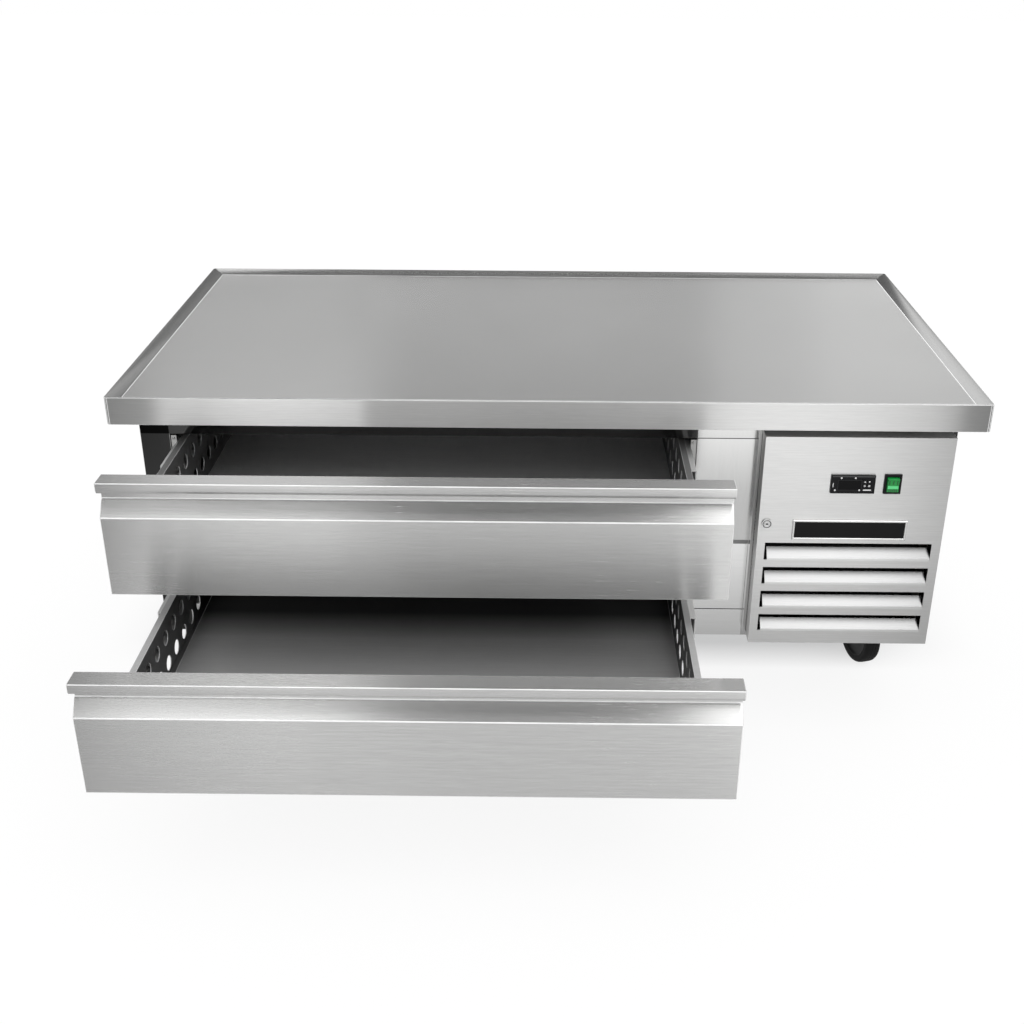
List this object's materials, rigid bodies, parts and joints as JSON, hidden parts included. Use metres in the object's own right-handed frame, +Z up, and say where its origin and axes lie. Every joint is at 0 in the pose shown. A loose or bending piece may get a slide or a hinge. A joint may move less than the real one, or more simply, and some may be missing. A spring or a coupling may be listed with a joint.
{
  "type": "refrigerated chef base",
  "caption": "Low refrigerated equipment stand on casters: raised-rim worktop, insulated cabinet with stacked pull-out drawers, and a hinged louvred panel over a compressor bay.",
  "frame": {"origin": "centre of the overall box's base: on the floor, midway across the worktop and midway from the lower drawer's handle, as it stands open, to the worktop's back edge", "axes": "+X to the right seen from the front, +Y to the back, +Z up"},
  "size_m": [1.534, 1.3026, 0.675],
  "materials": {
    "stainless": "brushed stainless sheet",
    "dull_stainless": "dull stainless sheet",
    "galvanised": "galvanised sheet",
    "aluminium": "bare",
    "black_enamel": "satin black enamel",
    "black_plastic": "moulded black",
    "grey_key": "moulded grey",
    "dark_window": "smoked window",
    "green_plastic": "translucent green, shown plain",
    "black_rubber": "solid black tread and hub",
    "gasket": "soft grey",
    "foam": null,
    "zinc": "zinc plated"
  },
  "bodies": {
    "cabinet": {"worktop": "stainless", "left_side_panel": "stainless", "right_side_panel": "stainless", "back_panel": "galvanised", "base_pan": "galvanised", "insulation": "foam", "inner_liner": "dull_stainless", "face_frame": "stainless", "machine_bay_collar": "dull_stainless", "base_frame": "galvanised", "evaporator_shroud": "dull_stainless", "evaporator_fan_motor": "black_enamel", "evaporator_coil": "aluminium", "condensing_unit_base": "galvanised", "condenser_coil": "aluminium", "condenser_shroud": "black_enamel", "condenser_fan_motor": "black_enamel", "compressor": "black_enamel", "upper_outer_slide_left": "zinc", "upper_outer_slide_right": "zinc", "lower_outer_slide_left": "zinc", "lower_outer_slide_right": "zinc"},
    "panel": {"access_panel": "stainless", "controller_housing": "black_plastic", "display_lens": "dark_window", "switch_housing": "black_plastic", "nameplate": "black_plastic", "lock_barrel": "zinc"},
    "lock_plug": {"lock_plug_and_cam": "zinc"},
    "rocker": {"switch_rocker": "green_plastic"},
    "evaporator_fan": {"evaporator_fan": "aluminium"},
    "condenser_fan": {"condenser_fan": "aluminium"},
    "key_up": {"key_up": "grey_key"},
    "key_down": {"key_down": "grey_key"},
    "key_defrost": {"key_defrost": "grey_key"},
    "key_set": {"key_set": "grey_key"},
    "upper_drawer": {"upper_drawer_front": "stainless", "upper_drawer_inner_panel": "dull_stainless", "upper_drawer_gasket": "gasket", "upper_drawer_box": "dull_stainless", "upper_inner_slide_left": "zinc", "upper_inner_slide_right": "zinc"},
    "upper_middle_slide_left": {"upper_middle_slide_left": "zinc"},
    "upper_middle_slide_right": {"upper_middle_slide_right": "zinc"},
    "lower_drawer": {"lower_drawer_front": "stainless", "lower_drawer_inner_panel": "dull_stainless", "lower_drawer_gasket": "gasket", "lower_drawer_box": "dull_stainless", "lower_inner_slide_left": "zinc", "lower_inner_slide_right": "zinc"},
    "lower_middle_slide_left": {"lower_middle_slide_left": "zinc"},
    "lower_middle_slide_right": {"lower_middle_slide_right": "zinc"},
    "caster_fork_front_right": {"caster_fork_front_right": "zinc"},
    "caster_wheel_front_right": {"caster_wheel_front_right": "black_rubber"},
    "caster_fork_front_left": {"caster_fork_front_left": "zinc"},
    "caster_wheel_front_left": {"caster_wheel_front_left": "black_rubber"},
    "caster_fork_back_right": {"caster_fork_back_right": "zinc"},
    "caster_wheel_back_right": {"caster_wheel_back_right": "black_rubber"},
    "caster_fork_back_left": {"caster_fork_back_left": "zinc"},
    "caster_wheel_back_left": {"caster_wheel_back_left": "black_rubber"}
  },
  "joints": [
    {"name": "panel_hinge", "type": "hinge", "parent": "cabinet", "child": "panel", "pos_m": [0.7154, -0.14135, 0.4], "axis": [0, 0, 1], "range_deg": [0, 105]},
    {"name": "lock_turn", "type": "hinge", "parent": "panel", "child": "lock_plug", "pos_m": [0.3947, -0.18125, 0.4445], "axis": [0, 1, 0], "range_deg": [0, 90]},
    {"name": "rocker_tilt", "type": "hinge", "parent": "panel", "child": "rocker", "pos_m": [0.6101, -0.17525, 0.52475], "axis": [1, 0, 0], "range_deg": [-12, 0]},
    {"name": "evaporator_fan_spin", "type": "hinge", "parent": "cabinet", "child": "evaporator_fan", "pos_m": [0.28695, 0.02925, 0.4385], "axis": [1, 0, 0], "continuous": true},
    {"name": "condenser_fan_spin", "type": "hinge", "parent": "cabinet", "child": "condenser_fan", "pos_m": [0.5434, -0.02495, 0.3165], "axis": [0, 1, 0], "continuous": true},
    {"name": "key_up_press", "type": "slide", "parent": "panel", "child": "key_up", "axis": [0, 1, 0], "range_m": [0, 0.0006], "stiffness_N_per_m": 300},
    {"name": "key_down_press", "type": "slide", "parent": "panel", "child": "key_down", "axis": [0, 1, 0], "range_m": [0, 0.0006], "stiffness_N_per_m": 300},
    {"name": "key_defrost_press", "type": "slide", "parent": "panel", "child": "key_defrost", "axis": [0, 1, 0], "range_m": [0, 0.0006], "stiffness_N_per_m": 300},
    {"name": "key_set_press", "type": "slide", "parent": "panel", "child": "key_set", "axis": [0, 1, 0], "range_m": [0, 0.0006], "stiffness_N_per_m": 300},
    {"name": "upper_drawer_slide", "type": "slide", "parent": "cabinet", "child": "upper_drawer", "axis": [0, -1, 0], "range_m": [-0.234, 0.366]},
    {"name": "upper_middle_slide_left_run", "type": "slide", "parent": "cabinet", "child": "upper_middle_slide_left", "axis": [0, -1, 0], "range_m": [-0.117, 0.183]},
    {"name": "upper_middle_slide_right_run", "type": "slide", "parent": "cabinet", "child": "upper_middle_slide_right", "axis": [0, -1, 0], "range_m": [-0.117, 0.183]},
    {"name": "lower_drawer_slide", "type": "slide", "parent": "cabinet", "child": "lower_drawer", "axis": [0, -1, 0], "range_m": [-0.47, 0.13]},
    {"name": "lower_middle_slide_left_run", "type": "slide", "parent": "cabinet", "child": "lower_middle_slide_left", "axis": [0, -1, 0], "range_m": [-0.235, 0.065]},
    {"name": "lower_middle_slide_right_run", "type": "slide", "parent": "cabinet", "child": "lower_middle_slide_right", "axis": [0, -1, 0], "range_m": [-0.235, 0.065]},
    {"name": "swivel_front_right", "type": "hinge", "parent": "cabinet", "child": "caster_fork_front_right", "pos_m": [0.6714, 0.04675, 0.14], "axis": [0, 0, 1], "continuous": true},
    {"name": "roll_front_right", "type": "hinge", "parent": "caster_fork_front_right", "child": "caster_wheel_front_right", "pos_m": [0.66078, 0.08531, 0.0625], "axis": [0.9641, 0.2656, 0], "continuous": true},
    {"name": "swivel_front_left", "type": "hinge", "parent": "cabinet", "child": "caster_fork_front_left", "pos_m": [-0.6714, 0.04675, 0.14], "axis": [0, 0, 1], "continuous": true},
    {"name": "roll_front_left", "type": "hinge", "parent": "caster_fork_front_left", "child": "caster_wheel_front_left", "pos_m": [-0.68508, 0.08434, 0.0625], "axis": [0.9397, 0.342, 0], "continuous": true},
    {"name": "swivel_back_right", "type": "hinge", "parent": "cabinet", "child": "caster_fork_back_right", "pos_m": [0.6714, 0.49425, 0.14], "axis": [0, 0, 1], "continuous": true},
    {"name": "roll_back_right", "type": "hinge", "parent": "caster_fork_back_right", "child": "caster_wheel_back_right", "pos_m": [0.64846, 0.52702, 0.0625], "axis": [0.8192, 0.5736, 0], "continuous": true},
    {"name": "swivel_back_left", "type": "hinge", "parent": "cabinet", "child": "caster_fork_back_left", "pos_m": [-0.6714, 0.49425, 0.14], "axis": [0, 0, 1], "continuous": true},
    {"name": "roll_back_left", "type": "hinge", "parent": "caster_fork_back_left", "child": "caster_wheel_back_left", "pos_m": [-0.6545, 0.5305, 0.0625], "axis": [0.9063, -0.4226, 0], "continuous": true}
  ],
  "couplings": [
    {"joint": "upper_middle_slide_left_run", "follows": "upper_drawer_slide", "ratio": 0.5},
    {"joint": "upper_middle_slide_right_run", "follows": "upper_drawer_slide", "ratio": 0.5},
    {"joint": "lower_middle_slide_left_run", "follows": "lower_drawer_slide", "ratio": 0.5},
    {"joint": "lower_middle_slide_right_run", "follows": "lower_drawer_slide", "ratio": 0.5}
  ]
}
